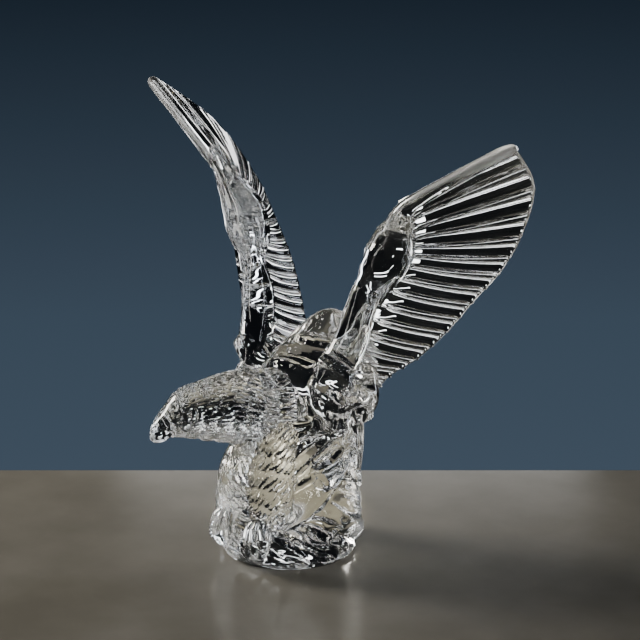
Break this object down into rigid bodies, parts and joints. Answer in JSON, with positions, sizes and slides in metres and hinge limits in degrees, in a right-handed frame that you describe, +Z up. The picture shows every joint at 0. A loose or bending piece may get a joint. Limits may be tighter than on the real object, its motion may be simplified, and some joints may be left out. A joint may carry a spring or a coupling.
{
  "type": "crystal eagle figurine",
  "caption": "Clear pressed-crystal eagle with raised fluted wings, standing on a rounded rock with a flat polished foot; a tabletop ornament.",
  "frame": {"origin": "centre of the flat round underside of the rock, on the table", "axes": "+Z up, -Y the way the eagle's body faces, +X towards its left wing"},
  "size_m": [0.2564, 0.1468, 0.2366],
  "materials": {
    "clear_crystal": "clear polished lead crystal, with a satin band along the leading edge of the wings"
  },
  "bodies": {
    "root": {"crystal_eagle": "clear_crystal"}
  },
  "joints": []
}
